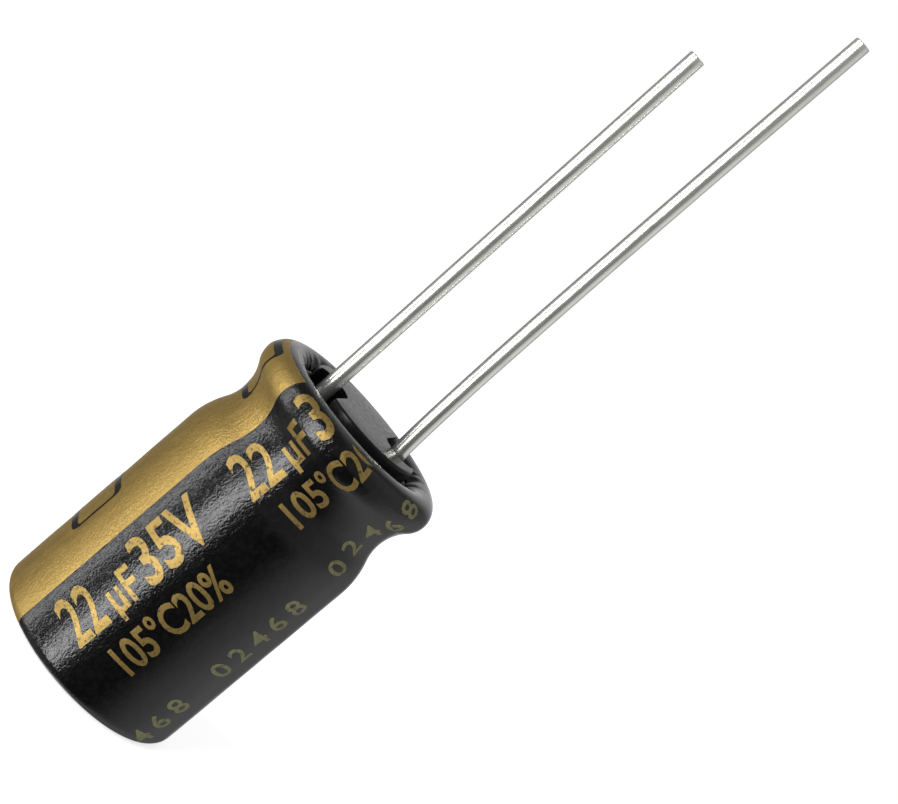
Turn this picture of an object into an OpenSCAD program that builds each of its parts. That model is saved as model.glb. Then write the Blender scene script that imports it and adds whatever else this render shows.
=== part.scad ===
// Radial aluminium electrolytic capacitor, 8 mm can, sleeved, with two straight leads.
// It stands on its closed end. The origin is the middle of that end. The leads point to +Z and
// lean a little to -X, and the long one is on the +X side.

/* [Can] */
// Outer diameter of the drawn can
can_d = 8.0; // [7.6:0.1:9]
// Height of the can from its closed end to the top of the curled rim
can_h = 13.05; // [12:0.25:18]
// Thickness of the can's wall and of its closed end
can_wall = 0.25; // [0.2:0.01:0.28]
// Outer radius of the edge round the closed end
base_edge_r = 0.34; // [0.32:0.02:0.8]
// Width of the scored lines of the safety vent
vent_score_w = 0.2; // [0.1:0.05:0.4]
// Depth of the scored lines of the safety vent
vent_score_depth = 0.12; // [0.06:0.02:0.18]
// Length of each scored line of the safety vent
vent_score_l = 4.6; // [3:0.2:5.4]

/* [Bead groove] */
// How far the groove is rolled into the can's side
groove_depth = 0.47; // [0.3:0.01:0.6]
// Radius of the hollow of the groove, across the can
groove_r = 2.05; // [1.6:0.05:2.4]
// Radius of the soft shoulder where the can's side turns into the groove
shoulder_r = 3.12; // [2:0.1:4]

/* [Curled rim] */
// Outer radius of the curl, across the can
rim_r = 0.64; // [0.54:0.02:0.7]
// How far the curl stands out past the can's side
rim_swell = 0.07; // [0:0.01:0.15]

/* [Sleeve] */
// Thickness of the shrunk sleeve
sleeve_t = 0.13; // [0.08:0.01:0.2]
// Radius of the window that the sleeve leaves open in the closed end
sleeve_window_r = 2.95; // [2.4:0.05:3.3]
// How far round the curl the sleeve reaches, from its outermost line
sleeve_lap = 150; // [80:1:155]

/* [End seal] */
// Height of the seal from its underside to the top of the can's rim
seal_h = 3.6; // [3.4:0.05:4.1]
// Diameter of the seal's raised middle
boss_d = 5.0; // [4.6:0.1:5.2]
// How far the raised middle stands above the can's rim
boss_proud = 0.33; // [0.1:0.01:0.6]
// Radius of the edge round the raised middle
boss_edge_r = 0.12; // [0.05:0.01:0.2]
// Width of the open channel round each lead
channel_w = 1.4; // [1:0.1:1.6]
// Depth of the open channel round each lead
channel_depth = 0.8; // [0.4:0.05:1]
// Turn of the channels from square to the line of the leads
channel_turn = 24; // [0:1:40]

/* [Leads] */
// Distance between the two leads
lead_pitch = 3.5; // [3.3:0.05:3.7]
// Diameter of each lead
lead_d = 0.64; // [0.5:0.01:0.7]
// Lean of both leads from the can's axis, towards the short one's side
lead_lean = 1.3; // [0:0.1:2]
// Length of the long lead above the seal
anode_lead_l = 21.3; // [10:0.1:30]
// Length of the short lead above the seal
cathode_lead_l = 16.75; // [6:0.25:25]
// Chamfer of each lead's cut end
lead_chamfer = 0.05; // [0:0.01:0.1]

/* [Tabs] */
// Diameter of the aluminium rod in the seal
rod_d = 1.1; // [0.9:0.05:1.2]
// How deep below the seal's top the lead is welded to the rod
weld_depth = 1.55; // [1.2:0.05:2]
// Height of the bevel at the rod's welded end
rod_bevel = 0.22; // [0.1:0.02:0.3]
// How far the round rod hangs below the seal
rod_hang = 0.25; // [0.1:0.05:0.3]
// Length over which the rod is pressed down to the paddle
press_l = 0.55; // [0.3:0.05:0.8]
// Width of the flat paddle
paddle_w = 1.2; // [1:0.05:1.3]
// Thickness of the flat paddle
paddle_t = 0.18; // [0.12:0.01:0.2]
// Height of the paddle's lower end above the winding's lower edge
paddle_clear = 1; // [0.6:0.1:2]
// Diameter of each hole that is staked through the paddle
stake_d = 0.5; // [0.3:0.05:0.6]
// Number of staked holes along the paddle
stakes = 3; // [1:1:4]

/* [Winding] */
// Thickness of the anode foil
anode_foil_t = 0.1; // [0.06:0.01:0.11]
// Thickness of the cathode foil
cathode_foil_t = 0.05; // [0.03:0.01:0.06]
// Thickness of each paper separator
paper_t = 0.06; // [0.04:0.01:0.07]
// Height of the free space between the winding and the seal
winding_gap = 1.58; // [1.4:0.02:2.6]
// How far the paper reaches past the foils at each end
paper_margin = 0.5; // [0.2:0.05:1]
// Room that the paddles take up between two turns
paddle_room = 0.5; // [0.46:0.01:0.54]
// Thickness of the band round the winding
tape_t = 0.05; // [0.03:0.01:0.08]
// Height of the band round the winding
tape_h = 5; // [3:0.5:6]

/* [Clearances] */
// Clearance between the sleeve and the can
sleeve_clear = 0.02; // [0.01:0.01:0.05]
// Clearance between the seal and what it closes on
seal_clear = 0.02; // [0.01:0.01:0.05]
// Clearance between one layer of the winding and the next
layer_clear = 0.02; // [0.01:0.01:0.03]

/* [Hidden] */
// Fineness of the round parts
$fn = 96;
// Largest step along an arc of a profile, in degrees
arc_step = 7.5;
// The same for the small edges
edge_step = 15;
// How far a cut runs out past what it cuts
over = 0.5;
// Share of the rod's width that the paddle has where it runs up into the rod
paddle_root = 0.8;

// Heights above the surface that the part stands on
can_z = sleeve_t + sleeve_clear;
rim_top_z = can_z + can_h;
seal_top_z = rim_top_z + boss_proud;
seal_z = rim_top_z - seal_h;

// The can's outline: the curl, the groove and the shoulder are arcs that touch each other
can_r = can_d / 2;
rim_x = can_r + rim_swell - rim_r;
rim_z = rim_top_z - rim_r;
groove_x = can_r - groove_depth + groove_r;
rim_turn = acos((groove_x - rim_x) / (groove_r + rim_r));
groove_z = rim_z - (groove_r + rim_r) * sin(rim_turn);
shoulder_x = can_r - shoulder_r;
shoulder_turn = acos((groove_x - shoulder_x) / (groove_r + shoulder_r));
shoulder_z = groove_z - (groove_r + shoulder_r) * sin(shoulder_turn);

// The seal's shoulder lies where the groove's inner side ends, and the curl closes down on it
seal_in = can_wall + seal_clear;
seal_shoulder_z = rim_z - (rim_r - seal_in) * sin(rim_turn);
curl_turn = 180 + asin((rim_z - seal_shoulder_z - seal_clear) / rim_r);

lead_r = lead_d / 2;
lead_x = lead_pitch / 2;
weld_z = seal_top_z - weld_depth;
rod_r = rod_d / 2;
neck_z = seal_z - rod_hang - press_l;

// The winding: each layer's seams lie on the X axis, half a pitch further out at each half turn
winding_z = can_z + can_wall + layer_clear;
layer_pitch = anode_foil_t + cathode_foil_t + 2 * paper_t + 4 * layer_clear;
inner_halves = 6;
all_halves = 13;
core_r = lead_x + layer_clear / 2 - paddle_room / 2 - inner_halves * layer_pitch / 2;
inner_paper_at = anode_foil_t + layer_clear;
cathode_foil_at = inner_paper_at + paper_t + layer_clear;
outer_paper_at = cathode_foil_at + cathode_foil_t + layer_clear;
winding_r = seam(all_halves, 0) + outer_paper_at + paper_t;
paper_h = seal_z - winding_gap - winding_z;
foil_h = paper_h - 2 * paper_margin;
paddle_z = winding_z + paddle_clear;
paddle_top_z = neck_z - press_l / 2;
stake_step = (paddle_top_z - paddle_z) / stakes;

// Points of an arc about a centre, from one angle to another
function arc(centre, r, from, to, step = arc_step) =
    let (steps = max(1, ceil(abs(to - from) / step)))
    [for (i = [0 : steps])
        let (a = from + (to - from) * i / steps)
        centre + r * [cos(a), sin(a)]];

// The can's side from the bottom edge to the groove's upper end, moved outwards by t
function side_line(t) = concat(
    arc([can_r - base_edge_r, can_z + base_edge_r], base_edge_r + t, -90, 0, edge_step),
    groove_line(t));

function groove_line(t) = concat(
    arc([shoulder_x, shoulder_z], shoulder_r + t, 0, shoulder_turn),
    arc([groove_x, groove_z], groove_r - t, 180 + shoulder_turn, 180 - rim_turn));

// The curl from the groove's upper end to a given angle, moved outwards by t
function rim_line(t, to) = arc([rim_x, rim_z], rim_r + t, -rim_turn, to);

function reversed(line) = [for (i = [len(line) - 1 : -1 : 0]) line[i]];

// Distance of seam k from the axis, with the room for the paddles after the inner turns
function seam(k, early) =
    core_r + k * layer_pitch / 2 + (k >= inner_halves - early ? paddle_room : 0);

module turned(points) {
    rotate_extrude()
        polygon(points);
}

// The shrunk tube, from its window in the closed end to its lip on the curl
function sleeve_section() = concat(
    [[sleeve_window_r, 0]],
    side_line(sleeve_clear + sleeve_t),
    rim_line(sleeve_clear + sleeve_t, sleeve_lap),
    reversed(rim_line(sleeve_clear, sleeve_lap)),
    reversed(side_line(sleeve_clear)),
    [[sleeve_window_r, sleeve_t]]);

module sleeve() {
    color([0.07, 0.07, 0.09])
        turned(sleeve_section());
}

module can() {
    color([0.8, 0.81, 0.83])
        difference() {
            turned(concat(
                [[0, can_z]],
                side_line(0),
                rim_line(0, curl_turn),
                reversed(rim_line(-can_wall, curl_turn)),
                reversed(side_line(-can_wall)),
                [[0, can_z + can_wall]]));
            vent_score();
        }
}

// Two crossed lines, pressed into the closed end so that it opens there under pressure
module vent_score() {
    for (a = [45, 135])
        rotate([0, 0, a])
            translate([-vent_score_l / 2, -vent_score_w / 2, can_z - over])
                cube([vent_score_l, vent_score_w, over + vent_score_depth]);
}

module end_seal() {
    color([0.16, 0.16, 0.17])
        difference() {
            rotate_extrude()
                intersection() {
                    polygon(seal_section());
                    translate([0, seal_z])
                        square([can_d, can_h]);
                }
            for (side = [-1, 1])
                translate([side * lead_x, 0, 0]) {
                    lead_hole();
                    rotate([0, 0, side * 90 - channel_turn])
                        open_channel();
                }
        }
}

// Half the seal's outline, drawn down to the closed end before its underside is cut
function seal_section() =
    let (boss_r = boss_d / 2)
    concat(
        [[0, can_z], [can_r - seal_in, can_z]],
        groove_line(-seal_in),
        [[boss_r, seal_shoulder_z]],
        arc([boss_r - boss_edge_r, seal_top_z - boss_edge_r], boss_edge_r, 0, 90, edge_step),
        [[0, seal_top_z]]);

// A stepped hole: wide for the tab's rod, narrow for the lead
module lead_hole() {
    translate([0, 0, seal_z - over])
        cylinder(h = weld_z + seal_clear - seal_z + over, r = rod_r + seal_clear);
    along_lead()
        translate([0, 0, -over])
            cylinder(h = weld_depth + 2 * over, r = lead_r + seal_clear);
}

// Turns what starts at the weld so that it leans as the lead does
module along_lead() {
    translate([0, 0, weld_z])
        rotate([0, -lead_lean, 0])
            children();
}

// A channel with a round end at the lead, open at the edge of the raised middle
module open_channel() {
    half_w = channel_w / 2;
    translate([0, 0, seal_top_z - channel_depth])
        linear_extrude(channel_depth + over)
            polygon(concat(
                arc([0, 0], half_w, 90, 270),
                [[boss_d, -half_w], [boss_d, half_w]]));
}

module anode_lead() lead(1, anode_lead_l);

module cathode_lead() lead(-1, cathode_lead_l);

// A straight wire from its flat weld face to its cut end
module lead(side, length) {
    wire_l = weld_depth + length;
    color([0.8, 0.8, 0.78])
        translate([side * lead_x, 0, 0])
            intersection() {
                along_lead()
                    turned([
                        [0, -over],
                        [lead_r, -over],
                        [lead_r, wire_l - lead_chamfer],
                        [lead_r - lead_chamfer, wire_l],
                        [0, wire_l]]);
                translate([-can_d / 2, -can_d / 2, weld_z])
                    cube([can_d, can_d, wire_l]);
            }
}

module anode_tab() tab(1);

module cathode_tab() tab(-1);

// A round rod with a bevelled weld end, pressed down to a flat paddle below the seal
module tab(side) {
    color([0.72, 0.73, 0.75])
        translate([side * lead_x, 0, 0])
            difference() {
                union() {
                    intersection() {
                        turned([
                            [0, neck_z],
                            [rod_r, neck_z],
                            [rod_r, weld_z - rod_bevel],
                            [lead_r, weld_z],
                            [0, weld_z]]);
                        press_wedge();
                    }
                    paddle();
                }
                for (i = [0 : stakes - 1])
                    translate([0, 0, paddle_z + (i + 0.5) * stake_step])
                        rotate([0, 90, 0])
                            cylinder(h = rod_d, d = stake_d, center = true);
            }
}

// The space between the two jaws that press the rod flat
module press_wedge() {
    spread = (rod_r - paddle_t / 2) / press_l * (weld_z - neck_z);
    rotate([90, 0, 0])
        linear_extrude(2 * rod_d, center = true)
            polygon([
                [-paddle_t / 2, neck_z],
                [paddle_t / 2, neck_z],
                [paddle_t / 2 + spread, weld_z],
                [-paddle_t / 2 - spread, weld_z]]);
}

// The flat paddle, drawn in where it runs up into the rod
module paddle() {
    root_w = rod_d * paddle_root;
    rotate([90, 0, 90])
        translate([0, 0, -paddle_t / 2])
            linear_extrude(paddle_t)
                polygon([
                    [-paddle_w / 2, paddle_z],
                    [paddle_w / 2, paddle_z],
                    [paddle_w / 2, paddle_top_z],
                    [root_w / 2, neck_z + press_l / 2],
                    [-root_w / 2, neck_z + press_l / 2],
                    [-paddle_w / 2, paddle_top_z]]);
}

// One layer of the winding: half rings whose centres shift, so that it spirals outwards
module wound_strip(at, t, z, h, first, last, early) {
    translate([0, 0, z])
        for (k = [first : last]) {
            near = seam(k, early);
            far = seam(k + 1, early);
            rotate([0, 0, k % 2 == 0 ? 0 : 180])
                translate([(near - far) / 2, 0, 0])
                    rotate_extrude(angle = 180)
                        translate([(near + far) / 2 + at, 0])
                            square([t, h]);
        }
}

module anode_foil() {
    color([0.55, 0.56, 0.6])
        wound_strip(0, anode_foil_t, winding_z + paper_margin, foil_h, 1, all_halves - 2, 0);
}

module cathode_foil() {
    color([0.66, 0.67, 0.7])
        wound_strip(cathode_foil_at, cathode_foil_t, winding_z + paper_margin, foil_h, 1,
            all_halves - 2, 1);
}

module inner_separator() {
    color([0.86, 0.8, 0.66])
        wound_strip(inner_paper_at, paper_t, winding_z, paper_h, 0, all_halves - 1, 0);
}

module outer_separator() {
    color([0.9, 0.85, 0.72])
        wound_strip(outer_paper_at, paper_t, winding_z, paper_h, 0, all_halves - 1, 1);
}

module winding_tape() {
    inner_r = winding_r + layer_clear;
    color([0.75, 0.72, 0.5])
        translate([0, 0, winding_z + (paper_h - tape_h) / 2])
            turned([
                [inner_r, 0],
                [inner_r + tape_t, 0],
                [inner_r + tape_t, tape_h],
                [inner_r, tape_h]]);
}

sleeve();
can();
end_seal();
anode_lead();
cathode_lead();
anode_tab();
cathode_tab();
anode_foil();
cathode_foil();
inner_separator();
outer_separator();
winding_tape();
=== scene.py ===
import math

import bpy
from mathutils import Matrix, Vector, noise


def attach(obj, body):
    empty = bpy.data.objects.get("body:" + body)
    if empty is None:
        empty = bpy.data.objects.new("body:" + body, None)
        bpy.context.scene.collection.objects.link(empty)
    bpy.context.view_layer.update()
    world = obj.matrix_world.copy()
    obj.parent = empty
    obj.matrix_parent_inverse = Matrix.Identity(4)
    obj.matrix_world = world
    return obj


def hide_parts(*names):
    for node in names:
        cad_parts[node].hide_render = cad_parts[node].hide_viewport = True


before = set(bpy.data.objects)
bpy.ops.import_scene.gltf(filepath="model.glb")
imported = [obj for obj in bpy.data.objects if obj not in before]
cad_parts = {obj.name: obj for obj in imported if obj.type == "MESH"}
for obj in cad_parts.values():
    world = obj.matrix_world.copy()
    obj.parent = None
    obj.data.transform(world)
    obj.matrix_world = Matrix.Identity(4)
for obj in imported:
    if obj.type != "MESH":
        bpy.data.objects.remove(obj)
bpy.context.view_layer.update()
mm = 0.001


# Camera: it looks at the standing can from a little above, rolled over to the left
cameraView = {
    "place": (-20.02, -70.67, 26.87),  # in millimetres
    "forward": (0.28786, 0.94666, -0.14483),
    "roll": -49.9,
    "lens": 85.02,
    "sensor": 36,
    "nearest": 1,
    "furthest": 5000,
}
frontAngle = -105.8  # direction from the can's axis to the camera, in degrees round +Z


def placeCamera():
    forward = Vector(cameraView["forward"]).normalized()
    level = Vector((0, 0, 1)) - forward * forward.z
    level.normalize()
    roll = math.radians(cameraView["roll"])
    up = level * math.cos(roll) + forward.cross(level) * math.sin(roll)
    right = forward.cross(up)
    turn = Matrix((right, up, -forward)).transposed().to_4x4()
    lens = bpy.data.cameras.new("photoCamera")
    lens.lens = cameraView["lens"]
    lens.sensor_width = cameraView["sensor"]
    lens.clip_start = cameraView["nearest"] * mm
    lens.clip_end = cameraView["furthest"] * mm
    camera = bpy.data.objects.new("photoCamera", lens)
    camera.matrix_world = Matrix.Translation(Vector(cameraView["place"]) * mm) @ turn
    bpy.context.scene.collection.objects.link(camera)
    bpy.context.scene.camera = camera


placeCamera()
print("camera placed")


# Parts that the materials share
noiseSpan = (0.3, 0.7)  # most of a noise field lies between these values


def newMaterial(name):
    material = bpy.data.materials.new(name)
    material.use_nodes = True
    tree = material.node_tree
    surface = tree.nodes["Principled BSDF"]
    return material, tree, surface


def addNode(tree, kind, settings=None, inputs=None):
    node = tree.nodes.new(kind)
    for key, value in (settings or {}).items():
        setattr(node, key, value)
    for key, value in (inputs or {}).items():
        if isinstance(value, bpy.types.NodeSocket):
            tree.links.new(value, node.inputs[key])
        else:
            node.inputs[key].default_value = value
    return node


def mathNode(tree, operation, first, second=0.0):
    return addNode(tree, "ShaderNodeMath", {"operation": operation}, {0: first, 1: second}).outputs[0]


def millimetres(tree, stretch=(1, 1, 1)):
    coords = addNode(tree, "ShaderNodeTexCoord")
    scale = tuple(share / mm for share in stretch)
    mapping = addNode(tree, "ShaderNodeMapping", None, {"Vector": coords.outputs["Object"], "Scale": scale})
    return mapping.outputs["Vector"]


def noiseField(tree, vector, scale, detail=3.0, distortion=0.0):
    inputs = {"Vector": vector, "Scale": scale, "Detail": detail, "Distortion": distortion}
    return addNode(tree, "ShaderNodeTexNoise", None, inputs).outputs["Fac"]


def spread(tree, value, span, result):
    low, high = span
    lowOut, highOut = result
    inputs = {"Value": value, "From Min": low, "From Max": high, "To Min": lowOut, "To Max": highOut}
    return addNode(tree, "ShaderNodeMapRange", None, inputs).outputs["Result"]


def blendColours(tree, amount, first, second):
    node = addNode(tree, "ShaderNodeMix", {"data_type": "RGBA"}, {0: amount})
    for socket, value in ((node.inputs[6], first), (node.inputs[7], second)):
        if isinstance(value, bpy.types.NodeSocket):
            tree.links.new(value, socket)
        else:
            socket.default_value = (*value, 1)
    return node.outputs[2]


def addBump(tree, surface, height, depth):
    bump = addNode(tree, "ShaderNodeBump", None, {"Height": height, "Distance": depth * mm, "Strength": 1.0})
    tree.links.new(bump.outputs["Normal"], surface.inputs["Normal"])
    return bump


# Studio: a white floor and backdrop, two tall strip lights to the left, grey sides and a dark front
studio = {
    # levels are pairs: degrees round the can from the camera's side, and brightness
    "wallLevels": [
        (-180, 1.0), (-172, 1.0), (-162, 0.60), (-151, 0.26), (-140, 0.08), (-112, 0.10), (-96, 0.34),
        (-80, 0.54), (-50, 0.34), (-12, 0.26), (0, 0.06), (38, 0.04), (52, 0.20), (62, 0.42), (76, 0.60),
        (96, 0.72), (124, 0.52), (140, 0.30), (158, 0.16), (172, 0.80), (180, 1.0),
    ],
    "skyLevels": [
        (-180, 0.72), (-166, 0.66), (-150, 0.18), (-110, 0.18), (-60, 0.30), (-10, 0.16), (40, 0.26),
        (80, 0.50), (110, 0.48), (150, 0.20), (166, 0.62), (180, 0.72),
    ],
    "skyRise": 0.14,
    "strips": [
        {"name": "mainStrip", "angle": -24.5, "width": 14.5, "level": 10.4},
        {"name": "sideStrip", "angle": -70, "width": 9, "level": 7.8},
    ],
    "stripDistance": 400,
    "stripHeight": 620,
    "floorRadius": 150,
    "floorSides": 128,
    "floorTone": 0.9,
    "floorRoughness": 0.9,
    "floorGlow": 0.72,
}
white = (1, 1, 1, 1)


def levelRamp(tree, place, levels):
    ramp = addNode(tree, "ShaderNodeValToRGB", None, {"Fac": place})
    points = ramp.color_ramp.elements
    for at, level in levels[1:-1]:
        point = points.new((at + 180) / 360)
        point.color = (level, level, level, 1)
    for point, (_, level) in ((points[0], levels[0]), (points[-1], levels[-1])):
        point.color = (level, level, level, 1)
    return ramp.outputs["Color"]


# Place along the ramps: from 0 to 1 round the can, with the camera's side in the middle
def placeAround(tree, parts):
    angle = mathNode(tree, "ARCTAN2", parts.outputs["Y"], parts.outputs["X"])
    turns = mathNode(tree, "MULTIPLY", angle, 1 / (2 * math.pi))
    middle = 0.5
    return mathNode(tree, "FRACT", mathNode(tree, "ADD", turns, 1 + middle - frontAngle / 360))


def makeWorld():
    world = bpy.data.worlds.new("studioWalls")
    bpy.context.scene.world = world
    world.use_nodes = True
    tree = world.node_tree
    tree.nodes.clear()
    coords = addNode(tree, "ShaderNodeTexCoord")
    parts = addNode(tree, "ShaderNodeSeparateXYZ", None, {"Vector": coords.outputs["Generated"]})
    place = placeAround(tree, parts)
    walls = levelRamp(tree, place, studio["wallLevels"])
    sky = levelRamp(tree, place, studio["skyLevels"])
    above = spread(tree, parts.outputs["Z"], (0, studio["skyRise"]), (0, 1))
    lit = addNode(tree, "ShaderNodeBackground", None, {"Color": blendColours(tree, above, walls, sky)})
    seen = addNode(tree, "ShaderNodeBackground", None, {"Color": white, "Strength": 1.0})
    rays = addNode(tree, "ShaderNodeLightPath")
    direct = mathNode(tree, "MAXIMUM", rays.outputs["Is Camera Ray"], rays.outputs["Is Transmission Ray"])
    choice = addNode(tree, "ShaderNodeMixShader", None, {0: direct})
    tree.links.new(lit.outputs[0], choice.inputs[1])
    tree.links.new(seen.outputs[0], choice.inputs[2])
    out = addNode(tree, "ShaderNodeOutputWorld")
    tree.links.new(choice.outputs[0], out.inputs["Surface"])


def addStrip(strip):
    distance = studio["stripDistance"] * mm
    wide = 2 * distance * math.tan(math.radians(strip["width"] / 2))
    high = studio["stripHeight"] * mm
    lamp = bpy.data.lights.new(strip["name"], "AREA")
    lamp.shape = "RECTANGLE"
    lamp.size = wide
    lamp.size_y = high
    lamp.energy = strip["level"] * math.pi * wide * high
    light = bpy.data.objects.new(strip["name"], lamp)
    angle = math.radians(frontAngle + strip["angle"])
    side = Vector((math.cos(angle), math.sin(angle), 0))
    across = Vector((0, 0, 1)).cross(side)
    turn = Matrix((across, Vector((0, 0, 1)), side)).transposed().to_4x4()
    light.matrix_world = Matrix.Translation(side * distance) @ turn
    light.visible_camera = False
    bpy.context.scene.collection.objects.link(light)


# The floor is clear from below, where the closed end can then be seen
def makeFloor():
    radius = studio["floorRadius"] * mm
    bpy.ops.mesh.primitive_circle_add(vertices=studio["floorSides"], radius=radius, fill_type="NGON")
    floor = bpy.context.object
    floor.name = "paleFloor"
    floor.visible_glossy = False
    floor.visible_shadow = False
    material, tree, surface = newMaterial("paleFloorPaint")
    tone = studio["floorTone"]
    surface.inputs["Base Color"].default_value = (tone, tone, tone, 1)
    surface.inputs["Roughness"].default_value = studio["floorRoughness"]
    rays = addNode(tree, "ShaderNodeLightPath")
    glow = mathNode(tree, "MULTIPLY", rays.outputs["Is Camera Ray"], studio["floorGlow"])
    surface.inputs["Emission Color"].default_value = white
    tree.links.new(glow, surface.inputs["Emission Strength"])
    underside = addNode(tree, "ShaderNodeNewGeometry").outputs["Backfacing"]
    clear = addNode(tree, "ShaderNodeBsdfTransparent")
    choice = addNode(tree, "ShaderNodeMixShader", None, {0: underside})
    tree.links.new(surface.outputs[0], choice.inputs[1])
    tree.links.new(clear.outputs[0], choice.inputs[2])
    tree.links.new(choice.outputs[0], tree.nodes["Material Output"].inputs["Surface"])
    floor.data.materials.append(material)


bpy.context.scene.view_settings.view_transform = "Standard"
makeWorld()
for strip in studio["strips"]:
    addStrip(strip)
makeFloor()
print("studio built")


# Outline of the can, in millimetres and degrees: arcs that touch each other
canShape = {
    "radius": 4.0,
    "height": 13.05,
    "wall": 0.25,
    "edgeRadius": 0.34,
    "grooveDepth": 0.47,
    "grooveRadius": 2.05,
    "shoulderRadius": 3.12,
    "rimRadius": 0.64,
    "rimSwell": 0.07,
    "curlTurn": 198,
    "endRings": (0.1, 1.2, 2.6),
    "floorRings": (1.8, 0.1),
    "sides": 160,
}
sleeveShape = {
    "film": 0.13,
    "clearance": 0.02,
    "window": 2.95,
    "lap": 150,
    "lipTurn": 4,
    "sides": 256,
    "stripeAngle": 74.6,
    # inside this radius on the lip the print stops, leaving bare black film there as painted shade
    "paintedShadeRadius": 3.78,
    "flatBase": 0.2,
    "ripple": 0.012,
    "rippleLength": 1.7,
    "fineRippleLength": 0.7,
    "fineRippleShare": 0.25,
    "lipWander": 0.04,
    "lipBlend": 0.4,
    "pleats": 34,
    "pleatDepth": 0.07,
    "pleatShift": 0.15,
}
lipNoise = {"wander": 2.2, "shift": 3, "depth": 4}  # how fast each changes round the lip
wanderPlace = Vector((0, 0, 5))  # each reads the noise at a place of its own
depthPlace = Vector((3, 0, 0))
arcSteps = {"edge": 9, "shoulder": 3, "groove": 4, "rim": 5}  # degrees from ring to ring
wallStep = 0.2  # millimetres from ring to ring

canZ = sleeveShape["film"] + sleeveShape["clearance"]
rimTopZ = canZ + canShape["height"]
rimX = canShape["radius"] + canShape["rimSwell"] - canShape["rimRadius"]
rimZ = rimTopZ - canShape["rimRadius"]
grooveX = canShape["radius"] - canShape["grooveDepth"] + canShape["grooveRadius"]
rimReach = canShape["grooveRadius"] + canShape["rimRadius"]
rimTurn = math.degrees(math.acos((grooveX - rimX) / rimReach))
grooveZ = rimZ - rimReach * math.sin(math.radians(rimTurn))
shoulderX = canShape["radius"] - canShape["shoulderRadius"]
shoulderReach = canShape["grooveRadius"] + canShape["shoulderRadius"]
shoulderTurn = math.degrees(math.acos((grooveX - shoulderX) / shoulderReach))
shoulderZ = grooveZ - shoulderReach * math.sin(math.radians(shoulderTurn))
edgeX = canShape["radius"] - canShape["edgeRadius"]
edgeZ = canZ + canShape["edgeRadius"]
outerSkin = sleeveShape["clearance"] + sleeveShape["film"]


def arcLine(centreX, centreZ, radius, start, stop, step):
    count = max(1, math.ceil(abs(stop - start) / step))
    line = []
    for i in range(count + 1):
        angle = math.radians(start + (stop - start) * i / count)
        line.append((centreX + radius * math.cos(angle), centreZ + radius * math.sin(angle)))
    return line


def straightLine(x, fromZ, toZ, step):
    count = max(1, math.ceil(abs(toZ - fromZ) / step))
    return [(x, fromZ + (toZ - fromZ) * i / count) for i in range(1, count)]


# The can's outline moved outwards by an offset; coarse is how many times wider apart the rings are
def sideLine(offset, coarse):
    outer = canShape["radius"] + offset
    line = arcLine(edgeX, edgeZ, canShape["edgeRadius"] + offset, -90, 0, arcSteps["edge"] * coarse)
    line += straightLine(outer, edgeZ, shoulderZ, wallStep * coarse)
    return line + grooveLine(offset, coarse)


def grooveLine(offset, coarse):
    shoulder = canShape["shoulderRadius"] + offset
    groove = canShape["grooveRadius"] - offset
    fromAngle = 180 + shoulderTurn
    toAngle = 180 - rimTurn
    line = arcLine(shoulderX, shoulderZ, shoulder, 0, shoulderTurn, arcSteps["shoulder"] * coarse)
    return line + arcLine(grooveX, grooveZ, groove, fromAngle, toAngle, arcSteps["groove"] * coarse)[1:]


def rimLine(offset, stop, coarse):
    radius = canShape["rimRadius"] + offset
    return arcLine(rimX, rimZ, radius, -rimTurn, stop, arcSteps["rim"] * coarse)[1:]


# Turned pieces: a circle is pulled out ring by ring
mergeDistance = 0.0005  # points nearer than this become one
cutterReach = 0.5  # how far a cutter stands past the surface that it opens


def deselectAll():
    for thing in bpy.context.selected_objects:
        thing.select_set(False)


def turnedPiece(name, rings, sides, closed=False, caps=False):
    deselectAll()
    radius, z = rings[0]
    bpy.ops.mesh.primitive_circle_add(vertices=sides, radius=radius * mm, location=(0, 0, z * mm))
    piece = bpy.context.object
    piece.name = name
    bpy.ops.object.transform_apply(location=True, rotation=True, scale=True)
    bpy.ops.object.mode_set(mode="EDIT")
    bpy.ops.mesh.select_all(action="SELECT")
    if caps:
        bpy.ops.mesh.edge_face_add()
    for nextRadius, nextZ in rings[1:]:
        bpy.ops.mesh.extrude_edges_move(TRANSFORM_OT_translate={"value": (0, 0, (nextZ - z) * mm)})
        size = nextRadius / radius
        bpy.ops.transform.resize(value=(size, size, 1), center_override=(0, 0, nextZ * mm))
        radius, z = nextRadius, nextZ
    if caps:
        bpy.ops.mesh.edge_face_add()
    bpy.ops.mesh.select_all(action="SELECT")
    if closed:
        bpy.ops.mesh.remove_doubles(threshold=mergeDistance * mm)
    bpy.ops.mesh.normals_make_consistent(inside=False)
    bpy.ops.object.mode_set(mode="OBJECT")
    return piece


def movePoints(piece, rule):
    for vertex in piece.data.vertices:
        vertex.co = rule(vertex.co)


def smoothShade(piece, angle=35):
    deselectAll()
    piece.select_set(True)
    bpy.context.view_layer.objects.active = piece
    bpy.ops.object.shade_smooth_by_angle(angle=math.radians(angle))


def applyModifiers(piece):
    deselectAll()
    piece.select_set(True)
    bpy.context.view_layer.objects.active = piece
    for modifier in list(piece.modifiers):
        bpy.ops.object.modifier_apply(modifier=modifier.name)


def cutAway(piece, cutter):
    cut = piece.modifiers.new("cut", "BOOLEAN")
    cut.operation = "DIFFERENCE"
    cut.solver = "EXACT"
    cut.object = cutter
    applyModifiers(piece)
    bpy.data.objects.remove(cutter)


def dress(piece, material, node):
    piece.data.materials.clear()
    piece.data.materials.append(material)
    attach(piece, "root")
    if node:
        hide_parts(node)


# Gold of the print: a fine grain of two tones, with clouds of a third
goldTones = {"dark": (0.33, 0.22, 0.06), "light": (0.45, 0.315, 0.105), "middle": (0.39, 0.26, 0.075)}
goldGrain = {"span": (0.35, 0.65), "cloudShare": 0.4}


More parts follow.
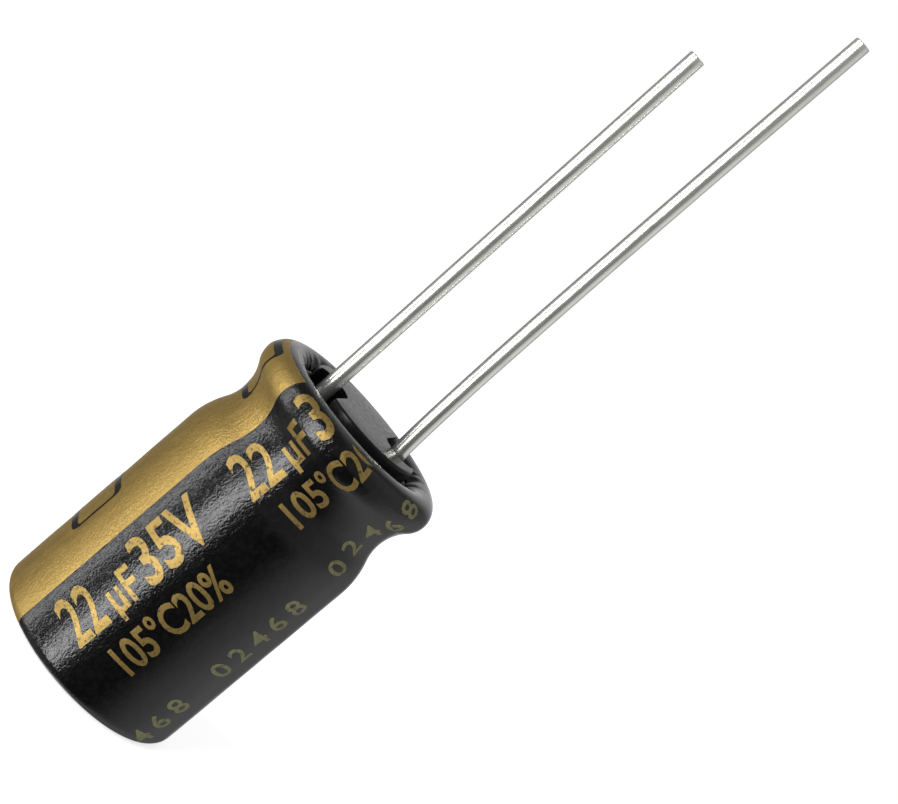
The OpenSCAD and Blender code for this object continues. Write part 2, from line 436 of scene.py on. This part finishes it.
def goldLook(tree, vector, shade=1.0):
    tones = {name: tuple(shade * part for part in colour) for name, colour in goldTones.items()}
    grain = spread(tree, noiseField(tree, vector, scale=16, detail=2), goldGrain["span"], (0, 1))
    clouds = noiseField(tree, vector, scale=1.3, detail=3)
    cloud = spread(tree, clouds, noiseSpan, (0, goldGrain["cloudShare"]))
    grainy = blendColours(tree, grain, tones["dark"], tones["light"])
    return blendColours(tree, cloud, grainy, tones["middle"])


# Shrunk film: near black and glossy, with fine wrinkles, and a gold stripe printed on one side
filmLook = {
    "black": (0.0018, 0.0018, 0.002),
    "dust": (0.005, 0.005, 0.0055),
    "dustSpan": (0.45, 0.75),
    "smearStretch": (1, 1, 0.35),
    "wrinkleStretch": (1, 1, 0.6),
    "roughness": (0.08, 0.17),
    "stripeRoughness": 0.35,
    "stripeMetal": 0.85,
    "wrinkleShare": 0.6,
    "poreShare": 0.48,
    "bumpDepth": 0.028,
    "wrinkledX": -2.6,  # the wrinkles fade from here to smoothX
    "smoothX": 0.4,
    "smoothStrength": 0.35,
    "ior": 1.47,
}


# The stripe lies on the short lead's side, and ends where the film turns in over the rim, so the bare black
# film on the lip's inner side is painted shade there
def stripeArea(tree, coords, parts):
    back = mathNode(tree, "MULTIPLY", parts.outputs["X"], -1.0)
    angle = mathNode(tree, "ABSOLUTE", mathNode(tree, "ARCTAN2", parts.outputs["Y"], back))
    inStripe = mathNode(tree, "LESS_THAN", angle, math.radians(sleeveShape["stripeAngle"] / 2))
    inputs = {0: coords.outputs["Object"], 1: (1, 1, 0)}
    flat = addNode(tree, "ShaderNodeVectorMath", {"operation": "MULTIPLY"}, inputs)
    radius = addNode(tree, "ShaderNodeVectorMath", {"operation": "LENGTH"}, {0: flat.outputs["Vector"]})
    outside = mathNode(tree, "GREATER_THAN", radius.outputs["Value"], sleeveShape["paintedShadeRadius"] * mm)
    below = mathNode(tree, "LESS_THAN", parts.outputs["Z"], rimZ * mm)
    return mathNode(tree, "MULTIPLY", inStripe, mathNode(tree, "MAXIMUM", outside, below))


def filmMaterial():
    material, tree, surface = newMaterial("shrunkFilm")
    vector = millimetres(tree)
    coords = addNode(tree, "ShaderNodeTexCoord")
    parts = addNode(tree, "ShaderNodeSeparateXYZ", None, {"Vector": coords.outputs["Object"]})
    stripe = stripeArea(tree, coords, parts)
    dust = spread(tree, noiseField(tree, vector, scale=5, detail=4), filmLook["dustSpan"], (0, 1))
    black = blendColours(tree, dust, filmLook["black"], filmLook["dust"])
    tree.links.new(blendColours(tree, stripe, black, goldLook(tree, vector)), surface.inputs["Base Color"])
    metal = mathNode(tree, "MULTIPLY", stripe, filmLook["stripeMetal"])
    tree.links.new(metal, surface.inputs["Metallic"])
    smeared = millimetres(tree, filmLook["smearStretch"])
    smears = noiseField(tree, smeared, scale=3, detail=3, distortion=0.4)
    gloss = spread(tree, smears, noiseSpan, filmLook["roughness"])
    matt = mathNode(tree, "MULTIPLY", stripe, filmLook["stripeRoughness"])
    tree.links.new(mathNode(tree, "ADD", gloss, matt), surface.inputs["Roughness"])
    wrinkled = millimetres(tree, filmLook["wrinkleStretch"])
    wrinkles = noiseField(tree, wrinkled, scale=5.5, detail=5, distortion=0.9)
    coarse = mathNode(tree, "MULTIPLY", wrinkles, filmLook["wrinkleShare"])
    pores = noiseField(tree, vector, scale=12, detail=3)
    fine = mathNode(tree, "MULTIPLY", pores, filmLook["poreShare"])
    bump = addBump(tree, surface, mathNode(tree, "ADD", coarse, fine), filmLook["bumpDepth"])
    across = (filmLook["wrinkledX"] * mm, filmLook["smoothX"] * mm)
    strength = spread(tree, parts.outputs["X"], across, (1.0, filmLook["smoothStrength"]))
    tree.links.new(strength, bump.inputs["Strength"])
    surface.inputs["IOR"].default_value = filmLook["ior"]
    return material


# Unevenness of the film: ripples all over, and pleats where it turns in over the rim
def ripple(point):
    flat = Vector((point.x, point.y, 0))
    if flat.length < 1 * mm:
        return point
    out = flat.normalized()
    depth = sleeveShape["ripple"]
    swell = noise.noise(point / (sleeveShape["rippleLength"] * mm)) * depth
    fine = noise.noise(point / (sleeveShape["fineRippleLength"] * mm))
    swell += fine * depth * sleeveShape["fineRippleShare"]
    inward = 0.0
    if point.z > rimZ * mm:
        inward = max(0.0, min(1.0, (rimX - flat.length / mm) / sleeveShape["lipBlend"]))
    wander = noise.noise(out * lipNoise["wander"] + wanderPlace) * sleeveShape["lipWander"]
    angle = math.atan2(point.y, point.x) + noise.noise(out * lipNoise["shift"]) * sleeveShape["pleatShift"]
    pleat = math.sin(angle * sleeveShape["pleats"]) * sleeveShape["pleatDepth"]
    pleat *= 0.5 + noise.noise(out * lipNoise["depth"] + depthPlace)
    return point + out * (swell + (wander + pleat) * inward) * mm


def makeSleeve():
    film = sleeveShape["film"]
    window = sleeveShape["window"]
    lap = sleeveShape["lap"]
    clearance = sleeveShape["clearance"]
    outer = [(window, 0)] + sideLine(outerSkin, 1) + rimLine(outerSkin, lap, 1)
    inner = sideLine(clearance, 2) + rimLine(clearance, lap, 2)
    lipAngle = lap + sleeveShape["lipTurn"]
    lipRadius = canShape["rimRadius"] + outerSkin - film / 2
    lip = arcLine(rimX, rimZ, lipRadius, lipAngle, lipAngle, arcSteps["rim"])[:1]
    rings = outer + lip + inner[::-1] + [(window, film), (window, 0)]
    piece = turnedPiece("shrunkSleeve", rings, sleeveShape["sides"], closed=True)
    movePoints(piece, lambda p: ripple(p) if p.z > sleeveShape["flatBase"] * mm else p)
    smoothShade(piece, angle=50)
    dress(piece, filmMaterial(), "sleeve")


makeSleeve()
print("sleeve modelled")


# Drawn aluminium can with its curl and the crossed score of its vent
ventScore = {"width": 0.2, "depth": 0.12, "length": 4.6, "angles": (45, 135)}
aluminium = {"darkShare": 0.72, "leastBright": 0.82, "glossiest": 0.7, "dullest": 1.3}


def aluminiumMaterial(name, colour, roughness, stretch, grain, depth):
    material, tree, surface = newMaterial(name)
    lines = noiseField(tree, millimetres(tree, stretch), scale=grain, detail=4)
    tone = spread(tree, lines, noiseSpan, (aluminium["leastBright"], 1.0))
    darker = tuple(part * aluminium["darkShare"] for part in colour)
    tree.links.new(blendColours(tree, tone, darker, colour), surface.inputs["Base Color"])
    gloss = (roughness * aluminium["glossiest"], roughness * aluminium["dullest"])
    tree.links.new(spread(tree, lines, noiseSpan, gloss), surface.inputs["Roughness"])
    surface.inputs["Metallic"].default_value = 1.0
    addBump(tree, surface, lines, depth)
    return material


def addBar(size, place, angle):
    deselectAll()
    bpy.ops.mesh.primitive_cube_add(size=1)
    bar = bpy.context.object
    bar.scale = tuple(part * mm for part in size)
    bar.rotation_euler = (0, 0, math.radians(angle))
    bar.location = tuple(part * mm for part in place)
    bpy.ops.object.transform_apply(location=True, rotation=True, scale=True)
    return bar


def makeCan():
    wall = canShape["wall"]
    turn = canShape["curlTurn"]
    outer = [(x, canZ) for x in canShape["endRings"]] + sideLine(0, 2) + rimLine(0, turn, 1)
    inner = sideLine(-wall, 2) + rimLine(-wall, turn, 1)
    rings = outer + inner[::-1] + [(x, canZ + wall) for x in canShape["floorRings"]]
    piece = turnedPiece("drawnCan", rings, canShape["sides"], caps=True)
    size = (ventScore["length"], ventScore["width"], cutterReach + ventScore["depth"])
    place = (0, 0, canZ + (ventScore["depth"] - cutterReach) / 2)
    for angle in ventScore["angles"]:
        cutAway(piece, addBar(size, place, angle))
    smoothShade(piece)
    metal = aluminiumMaterial("drawnAluminium", (0.86, 0.87, 0.88), roughness=0.28, stretch=(1, 1, 1),
                              grain=9, depth=0.004)
    dress(piece, metal, "can")


makeCan()
print("can modelled")


# Rubber seal: a stepped bung with two channels, each open at one side, and a stepped hole for each lead
sealShape = {
    "height": 3.6,
    "bossRadius": 2.5,
    "bossProud": 0.33,
    "bossEdge": 0.12,
    "bossEdgeStep": 15,
    "centre": 0.1,
    "bottomRing": 2.0,
    "shoulderRing": 3.1,
    "topRing": 1.2,
    "sides": 160,
    "channelWidth": 1.4,
    "channelDepth": 0.8,
    "channelTurn": 24,
    "channelReach": 4.6,
    "leadX": 1.75,
    "leadLean": 1.3,
    "leadHole": 0.34,
    "rodHole": 0.57,
    "rodGap": 0.02,
    "weldDepth": 1.55,
    "holeSides": 48,
}
sealTopZ = rimTopZ + sealShape["bossProud"]
sealZ = rimTopZ - sealShape["height"]
sealIn = canShape["wall"] + sleeveShape["clearance"]
sealShoulderZ = rimZ - (canShape["rimRadius"] - sealIn) * math.sin(math.radians(rimTurn))
weldZ = sealTopZ - sealShape["weldDepth"]
rubberLook = {
    "dark": (0.004, 0.004, 0.0045),
    "light": (0.010, 0.010, 0.0105),
    "roughness": (0.20, 0.32),
    "bumpDepth": 0.003,
    "ior": 1.27,
}


def rubberMaterial():
    material, tree, surface = newMaterial("mouldedRubber")
    vector = millimetres(tree)
    cloud = noiseField(tree, vector, scale=2.2, detail=4)
    colour = blendColours(tree, cloud, rubberLook["dark"], rubberLook["light"])
    tree.links.new(colour, surface.inputs["Base Color"])
    gloss = spread(tree, noiseField(tree, vector, scale=6, detail=3), noiseSpan, rubberLook["roughness"])
    tree.links.new(gloss, surface.inputs["Roughness"])
    surface.inputs["IOR"].default_value = rubberLook["ior"]
    addBump(tree, surface, noiseField(tree, vector, scale=12, detail=3), rubberLook["bumpDepth"])
    return material


# A channel is a round end with straight sides that run out past the seal
def addChannel(side):
    deselectAll()
    half = sealShape["channelWidth"] / 2 * mm
    depth = sealShape["channelDepth"] * mm
    floorZ = sealTopZ * mm - depth
    middle = 0.001 * mm
    bpy.ops.mesh.primitive_circle_add(vertices=sealShape["holeSides"], radius=half, location=(0, 0, floorZ))
    cutter = bpy.context.object
    bpy.ops.object.transform_apply(location=True)
    for vertex in cutter.data.vertices:
        if vertex.co.x > middle:
            vertex.co.x = sealShape["channelReach"] * mm
        vertex.co.y = max(-half, min(half, vertex.co.y))
    bpy.ops.object.mode_set(mode="EDIT")
    bpy.ops.mesh.select_all(action="SELECT")
    bpy.ops.mesh.edge_face_add()
    bpy.ops.mesh.extrude_region_move(TRANSFORM_OT_translate={"value": (0, 0, depth + cutterReach * mm)})
    bpy.ops.mesh.select_all(action="SELECT")
    bpy.ops.mesh.normals_make_consistent(inside=False)
    bpy.ops.object.mode_set(mode="OBJECT")
    turn = math.radians(side * 90 - sealShape["channelTurn"])
    place = Matrix.Translation((side * sealShape["leadX"] * mm, 0, 0)) @ Matrix.Rotation(turn, 4, "Z")
    cutter.data.transform(place)
    return cutter


def leanAlong(side):
    turn = Matrix.Rotation(math.radians(-sealShape["leadLean"]), 4, "Y")
    return Matrix.Translation((side * sealShape["leadX"] * mm, 0, weldZ * mm)) @ turn


def addHole(side, radius, fromZ, toZ, leans):
    deselectAll()
    place = (0, 0, ((fromZ + toZ) / 2 - weldZ) * mm)
    bpy.ops.mesh.primitive_cylinder_add(vertices=sealShape["holeSides"], radius=radius * mm,
                                        depth=(toZ - fromZ) * mm, location=place)
    cutter = bpy.context.object
    bpy.ops.object.transform_apply(location=True)
    upright = Matrix.Translation((side * sealShape["leadX"] * mm, 0, weldZ * mm))
    cutter.data.transform(leanAlong(side) if leans else upright)
    return cutter


def makeSeal():
    boss = sealShape["bossRadius"]
    edge = sealShape["bossEdge"]
    centre = sealShape["centre"]
    side = [point for point in grooveLine(-sealIn, 1) if point[1] > sealZ]
    rings = [(centre, sealZ), (sealShape["bottomRing"], sealZ), (side[0][0], sealZ)] + side
    rings += [(sealShape["shoulderRing"], sealShoulderZ), (boss, sealShoulderZ)]
    rings += arcLine(boss - edge, sealTopZ - edge, edge, 0, 90, sealShape["bossEdgeStep"])
    rings += [(sealShape["topRing"], sealTopZ), (centre, sealTopZ)]
    piece = turnedPiece("rubberSeal", rings, sealShape["sides"], caps=True)
    rodTopZ = weldZ + sealShape["rodGap"]
    openZ = sealTopZ + cutterReach
    for way in (-1, 1):
        cutAway(piece, addChannel(way))
        cutAway(piece, addHole(way, sealShape["leadHole"], weldZ - cutterReach, openZ, leans=True))
        cutAway(piece, addHole(way, sealShape["rodHole"], sealZ - cutterReach, rodTopZ, leans=False))
    smoothShade(piece)
    dress(piece, rubberMaterial(), "end_seal")


makeSeal()
print("seal modelled")


# Leads: tinned wire, leaning a little, cut square; the long one bows slightly
leadShape = {
    "radius": 0.32,
    "chamfer": 0.05,
    "chamferStep": 22.5,
    "anodeLength": 21.3,
    "cathodeLength": 16.75,
    "anodeBow": 0.15,
    "cathodeBow": 0.0,
    "bowPower": 0.6,
    "unevenness": 0.004,
    "dentLength": 0.45,
    "dentStretch": 0.15,
    "dentGrowth": 8,
    "centre": 0.05,
    "foot": 0.01,
    "ringStep": 0.3,
    "sides": 112,
}
tinLook = {
    "bright": (0.92, 0.92, 0.87),
    "dull": (0.76, 0.75, 0.68),
    "dullSpan": (0.55, 0.75),
    "streakStretch": (1, 1, 0.03),
    "spotStretch": (1, 1, 0.15),
    "roughness": (0.20, 0.30),
    "metal": 0.91,
    "streakShare": 0.6,
    "spotShare": 0.4,
    "bumpDepth": 0.003,
}


def tinMaterial():
    material, tree, surface = newMaterial("tinPlate")
    streaked = millimetres(tree, tinLook["streakStretch"])
    streaks = noiseField(tree, streaked, scale=9, detail=2, distortion=0.2)
    spotted = millimetres(tree, tinLook["spotStretch"])
    spots = noiseField(tree, spotted, scale=4, detail=2, distortion=0.5)
    dull = spread(tree, spots, tinLook["dullSpan"], (0, 1))
    colour = blendColours(tree, dull, tinLook["bright"], tinLook["dull"])
    tree.links.new(colour, surface.inputs["Base Color"])
    tree.links.new(spread(tree, spots, noiseSpan, tinLook["roughness"]), surface.inputs["Roughness"])
    surface.inputs["Metallic"].default_value = tinLook["metal"]
    lines = mathNode(tree, "MULTIPLY", streaks, tinLook["streakShare"])
    dents = mathNode(tree, "MULTIPLY", spots, tinLook["spotShare"])
    addBump(tree, surface, mathNode(tree, "ADD", lines, dents), tinLook["bumpDepth"])
    return material


def makeLead(name, side, length, bow, node, material):
    radius = leadShape["radius"]
    chamfer = leadShape["chamfer"]
    centre = leadShape["centre"]
    foot = leadShape["foot"]
    inside = sealShape["weldDepth"]
    end = inside + length
    rings = [(centre, foot), (radius, foot)]
    rings += straightLine(radius, foot, end - chamfer, leadShape["ringStep"])
    rings += arcLine(radius - chamfer, end - chamfer, chamfer, 0, 90, leadShape["chamferStep"])
    rings += [(centre, end)]
    piece = turnedPiece(name, rings, leadShape["sides"], caps=True)

    def uneven(point):
        out = Vector((point.x, point.y, 0)).normalized()
        stretched = Vector((point.x, point.y, point.z * leadShape["dentStretch"]))
        dent = noise.noise(stretched / (leadShape["dentLength"] * mm)) * leadShape["unevenness"] * mm
        share = max(0.0, (point.z / mm - inside) / length)
        sideways = -bow * mm * math.sin(math.pi * share ** leadShape["bowPower"]) if share < 1 else 0
        return point + out * dent * min(1.0, share * leadShape["dentGrowth"]) + Vector((sideways, 0, 0))

    movePoints(piece, uneven)
    piece.data.transform(leanAlong(side))
    smoothShade(piece, angle=50)
    dress(piece, material, node)


tin = tinMaterial()
makeLead("anodeWire", 1, leadShape["anodeLength"], leadShape["anodeBow"], "anode_lead", tin)
makeLead("cathodeWire", -1, leadShape["cathodeLength"], leadShape["cathodeBow"], "cathode_lead", tin)
print("leads modelled")


# Print: flat shapes are cut into a fine grid, wrapped round the film and given the ink's thickness
printing = {
    "grid": 0.12,
    "cutTolerance": 0.0001,
    "lift": 0.01,
    "inkThickness": 0.014,
    "baseMargin": 0.13,
    "curveSteps": 4,
}


def filmLine():
    line = sideLine(outerSkin, 1) + rimLine(outerSkin, sleeveShape["lap"], 1)
    lengths = [0.0]
    for (r0, z0), (r1, z1) in zip(line, line[1:]):
        lengths.append(lengths[-1] + math.hypot(r1 - r0, z1 - z0))
    rounding = 1e-6
    straight = next(i for i, (r, z) in enumerate(line) if z >= edgeZ - rounding)
    shift = line[straight][1] - lengths[straight]
    return line, [length + shift for length in lengths]


filmPath, filmLengths = filmLine()
# print ends at the lip's ridge, leaving bare black film inside it as painted shade
printEnd = max(length for length, (r, z) in zip(filmLengths, filmPath) if r > sleeveShape["paintedShadeRadius"])


# Point of the film at a distance up its outline (the height, on the wall) and an angle from the front
def filmPoint(along, angle, lift):
    i = 0
    while i < len(filmLengths) - 2 and filmLengths[i + 1] < along:
        i += 1
    share = (along - filmLengths[i]) / (filmLengths[i + 1] - filmLengths[i])
    (r0, z0), (r1, z1) = filmPath[i], filmPath[i + 1]
    step = Vector((r1 - r0, z1 - z0)).normalized()
    radius = r0 + (r1 - r0) * share + step.y * lift
    height = z0 + (z1 - z0) * share - step.x * lift
    turn = math.radians(frontAngle + angle)
    return ripple(Vector((radius * math.cos(turn), radius * math.sin(turn), height)) * mm)


def cutGrid(piece, low, high):
    bpy.ops.object.mode_set(mode="EDIT")
    for axis in (0, 1):
        normal = tuple(1 if i == axis else 0 for i in range(3))
        count = int((high[axis] - low[axis]) / printing["grid"]) + 1
        for i in range(1, count):
            at = [0, 0, 0]
            at[axis] = (low[axis] + i * printing["grid"]) * mm
            bpy.ops.mesh.select_all(action="SELECT")
            bpy.ops.mesh.bisect(plane_co=at, plane_no=normal, threshold=printing["cutTolerance"] * mm)
    bpy.ops.object.mode_set(mode="OBJECT")


def trimFlat(piece, limit, normal):
    bpy.ops.object.mode_set(mode="EDIT")
    bpy.ops.mesh.select_all(action="SELECT")
    bpy.ops.mesh.bisect(plane_co=(limit * mm, 0, 0), plane_no=normal, clear_outer=True,
                        threshold=printing["cutTolerance"] * mm)
    bpy.ops.object.mode_set(mode="OBJECT")


def wrapPrint(piece, angle, material):
    deselectAll()
    piece.select_set(True)
    bpy.context.view_layer.objects.active = piece
    # print past the lip's ridge is cut away, so the black film there is painted shade
    trimFlat(piece, printEnd, (1, 0, 0))
    trimFlat(piece, filmLengths[0] + printing["baseMargin"], (-1, 0, 0))
    if not piece.data.polygons:
        bpy.data.objects.remove(piece)
        return
    xs = [vertex.co.x / mm for vertex in piece.data.vertices]
    ys = [vertex.co.y / mm for vertex in piece.data.vertices]
    cutGrid(piece, (min(xs), min(ys)), (max(xs), max(ys)))
    radius = canShape["radius"] + outerSkin
    lift = printing["lift"]
    movePoints(piece, lambda p: filmPoint(p.x / mm, angle - math.degrees(p.y / mm / radius), lift))
    ink = piece.modifiers.new("ink", "SOLIDIFY")
    ink.thickness = printing["inkThickness"] * mm
    ink.offset = -1
    applyModifiers(piece)
    smoothShade(piece, angle=40)
    dress(piece, material, None)


def flatText(name, text, size, width, bold, start, baseline):
    deselectAll()
    bpy.ops.object.text_add()
    words = bpy.context.object
    words.name = name
    words.data.body = text
    words.data.size = size
    words.data.offset = bold
    words.data.resolution_u = printing["curveSteps"]
    bpy.ops.object.convert(target="MESH")
    piece = bpy.context.object
    low = min(vertex.co.x for vertex in piece.data.vertices)
    for vertex in piece.data.vertices:
        vertex.co = Vector(((start + (vertex.co.x - low) * width) * mm, (vertex.co.y + baseline) * mm, 0))
    bpy.ops.object.mode_set(mode="EDIT")
    bpy.ops.mesh.select_all(action="SELECT")
    bpy.ops.mesh.remove_doubles(threshold=mergeDistance * mm)
    bpy.ops.object.mode_set(mode="OBJECT")
    return piece


# Worn specks let the dark film show through the ink
inkWear = {"span": (0.55, 0.68), "colour": (0.05, 0.038, 0.016), "metalShare": 0.3}
goldInk = {"shade": 0.82, "metal": 0.8, "roughness": 0.46, "bumpDepth": 0.004}
oliveInk = {"dark": (0.13, 0.13, 0.052), "light": (0.24, 0.23, 0.105), "metal": 0.3, "roughness": 0.4}
blackInk = {"dark": (0.004, 0.004, 0.004), "light": (0.012, 0.011, 0.009), "roughness": 0.25}


def wearInk(tree, surface, vector, colour, metal):
    field = noiseField(tree, vector, scale=7.5, detail=4, distortion=0.3)
    specks = spread(tree, field, inkWear["span"], (0, 1))
    tree.links.new(blendColours(tree, specks, colour, inkWear["colour"]), surface.inputs["Base Color"])
    worn = spread(tree, specks, (0, 1), (metal, metal * inkWear["metalShare"]))
    tree.links.new(worn, surface.inputs["Metallic"])


def goldInkMaterial():
    material, tree, surface = newMaterial("goldInk")
    vector = millimetres(tree)
    wearInk(tree, surface, vector, goldLook(tree, vector, goldInk["shade"]), goldInk["metal"])
    surface.inputs["Roughness"].default_value = goldInk["roughness"]
    addBump(tree, surface, noiseField(tree, vector, scale=9, detail=3), goldInk["bumpDepth"])
    return material


def oliveInkMaterial():
    material, tree, surface = newMaterial("oliveInk")
    vector = millimetres(tree)
    grain = noiseField(tree, vector, scale=14, detail=2)
    colour = blendColours(tree, grain, oliveInk["dark"], oliveInk["light"])
    wearInk(tree, surface, vector, colour, oliveInk["metal"])
    surface.inputs["Roughness"].default_value = oliveInk["roughness"]
    return material


def blackInkMaterial():
    material, tree, surface = newMaterial("blackInk")
    grain = noiseField(tree, millimetres(tree), scale=14, detail=2)
    colour = blendColours(tree, grain, blackInk["dark"], blackInk["light"])
    tree.links.new(colour, surface.inputs["Base Color"])
    surface.inputs["Roughness"].default_value = blackInk["roughness"]
    return material


# Rows of figures: starts are distances up the film, and base angles are degrees from the front
ratingRow = {
    "parts": [
        {"name": "Figures", "text": "22", "width": 0.60, "share": 1.0, "shift": 0.0},
        {"name": "Unit", "text": "µF", "width": 0.72, "share": 0.70, "shift": 1.85},
        {"name": "Volts", "text": "35V", "width": 0.72, "share": 1.0, "shift": 3.35},
    ],
    "baseAngle": -4.4,
    "baseline": 0.05,
    "starts": (1.55, 9.45),
    "height": 1.87,
    "bold": 0.045,
}
heatRow = {
    "text": "105°C20%",
    "baseAngle": 21.0,
    "starts": (2.2, 10.0),
    "height": 1.24,
    "width": 0.69,
    "bold": 0.035,
}
codeRow = {
    "text": "02468",
    "baseAngle": 62.0,
    "starts": (-1.5, 4.0, 9.5),
    "height": 1.08,
    "pitch": 0.87,
    "width": 0.8,
    "bold": 0.02,
}
capHeight = 0.73  # height of a capital in the built-in font, as a share of its size


# Each row is printed over and over along the film, and is cut off where it runs off an end
def printRatings(material):
    size = ratingRow["height"] / capHeight
    for number, start in enumerate(ratingRow["starts"], 1):
        for part in ratingRow["parts"]:
            name = f"rating{part['name']}{number}"
            share = part["share"]
            piece = flatText(name, part["text"], size * share, part["width"], ratingRow["bold"] * share,
                             start + part["shift"], ratingRow["baseline"])
            wrapPrint(piece, ratingRow["baseAngle"], material)


def printHeatRatings(material):
    size = heatRow["height"] / capHeight
    for number, start in enumerate(heatRow["starts"], 1):
        name = f"heatRating{number}"
        piece = flatText(name, heatRow["text"], size, heatRow["width"], heatRow["bold"], start, 0)
        wrapPrint(piece, heatRow["baseAngle"], material)


def printCodes(material):
    size = codeRow["height"] / capHeight
    for number, start in enumerate(codeRow["starts"], 1):
        for i, digit in enumerate(codeRow["text"]):
            name = f"codeDigit{number}{digit}"
            place = start + i * codeRow["pitch"]
            piece = flatText(name, digit, size, codeRow["width"], codeRow["bold"], place, 0)
            wrapPrint(piece, codeRow["baseAngle"], material)


goldPrint = goldInkMaterial()
printRatings(goldPrint)
printHeatRatings(goldPrint)
printCodes(oliveInkMaterial())
print("rows printed")


# Minus marks on the stripe: a box in outline, with rounded corners and heavier ends
minusMark = {
    "starts": (3.3, 11.0),
    "length": 2.35,
    "width": 2.1,
    "corner": 0.3,
    "cornerSteps": 5,
    "line": 0.11,
    "endLine": 0.3,
    "centreAngle": -75.2,
}


def printMinus(number, start, material):
    deselectAll()
    middle = (start + minusMark["length"] / 2) * mm
    bpy.ops.mesh.primitive_plane_add(size=1, location=(middle, 0, 0))
    mark = bpy.context.object
    mark.name = f"minusMark{number}"
    mark.scale = (minusMark["length"] * mm, minusMark["width"] * mm, 1)
    bpy.ops.object.transform_apply(location=True, rotation=True, scale=True)
    bpy.ops.object.mode_set(mode="EDIT")
    bpy.ops.mesh.select_all(action="SELECT")
    bpy.ops.mesh.bevel(offset=minusMark["corner"] * mm, segments=minusMark["cornerSteps"], affect="VERTICES")
    bpy.ops.mesh.select_all(action="SELECT")
    bpy.ops.mesh.inset(thickness=minusMark["line"] * mm)
    bpy.ops.object.mode_set(mode="OBJECT")
    inner = [mark.data.vertices[i] for face in mark.data.polygons if face.select for i in face.vertices]
    push = (minusMark["endLine"] - minusMark["line"]) * mm
    for vertex in {vertex.index: vertex for vertex in inner}.values():
        vertex.co.x += math.copysign(push, middle - vertex.co.x)
    bpy.ops.object.mode_set(mode="EDIT")
    bpy.ops.mesh.delete(type="ONLY_FACE")
    bpy.ops.object.mode_set(mode="OBJECT")
    wrapPrint(mark, minusMark["centreAngle"], material)


blackPrint = blackInkMaterial()
for number, start in enumerate(minusMark["starts"], 1):
    printMinus(number, start, blackPrint)
print("minus marks printed")


# Pieces inside the can keep their solids and take their finishes
foilLook = {"pitShare": 0.7, "metal": 0.7, "roughness": 0.6, "bumpDepth": 0.01}
paperLook = {"dark": (0.58, 0.48, 0.33), "light": (0.84, 0.77, 0.62), "roughness": 0.75, "bumpDepth": 0.02}
tapeLook = {"dark": (0.58, 0.53, 0.28), "light": (0.72, 0.68, 0.42), "roughness": 0.35, "bumpDepth": 0.01}


def foilMaterial(name, colour):
    material, tree, surface = newMaterial(name)
    pits = noiseField(tree, millimetres(tree), scale=22, detail=4)
    pitted = tuple(part * foilLook["pitShare"] for part in colour)
    tree.links.new(blendColours(tree, pits, pitted, colour), surface.inputs["Base Color"])
    surface.inputs["Metallic"].default_value = foilLook["metal"]
    surface.inputs["Roughness"].default_value = foilLook["roughness"]
    addBump(tree, surface, pits, foilLook["bumpDepth"])
    return material


def plainMaterial(name, look, stretch, scale, detail, distortion=0.0):
    material, tree, surface = newMaterial(name)
    field = noiseField(tree, millimetres(tree, stretch), scale, detail, distortion)
    tree.links.new(blendColours(tree, field, look["dark"], look["light"]), surface.inputs["Base Color"])
    surface.inputs["Roughness"].default_value = look["roughness"]
    addBump(tree, surface, field, look["bumpDepth"])
    return material


def dressNode(name, material):
    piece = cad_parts[name]
    piece.data.materials.clear()
    piece.data.materials.append(material)


tabMetal = aluminiumMaterial("pressedAluminium", (0.80, 0.81, 0.83), roughness=0.35, stretch=(1, 1, 0.3),
                             grain=8, depth=0.008)
paper = plainMaterial("dampPaper", paperLook, (1, 1, 0.3), scale=8, detail=5, distortion=1.2)
for nodeName in ("anode_tab", "cathode_tab"):
    dressNode(nodeName, tabMetal)
dressNode("anode_foil", foilMaterial("formedFoil", (0.42, 0.43, 0.47)))
dressNode("cathode_foil", foilMaterial("plainFoil", (0.60, 0.61, 0.64)))
for nodeName in ("inner_separator", "outer_separator"):
    dressNode(nodeName, paper)
dressNode("winding_tape", plainMaterial("windingTape", tapeLook, (1, 1, 0.2), scale=3, detail=3))
print("inner pieces dressed")
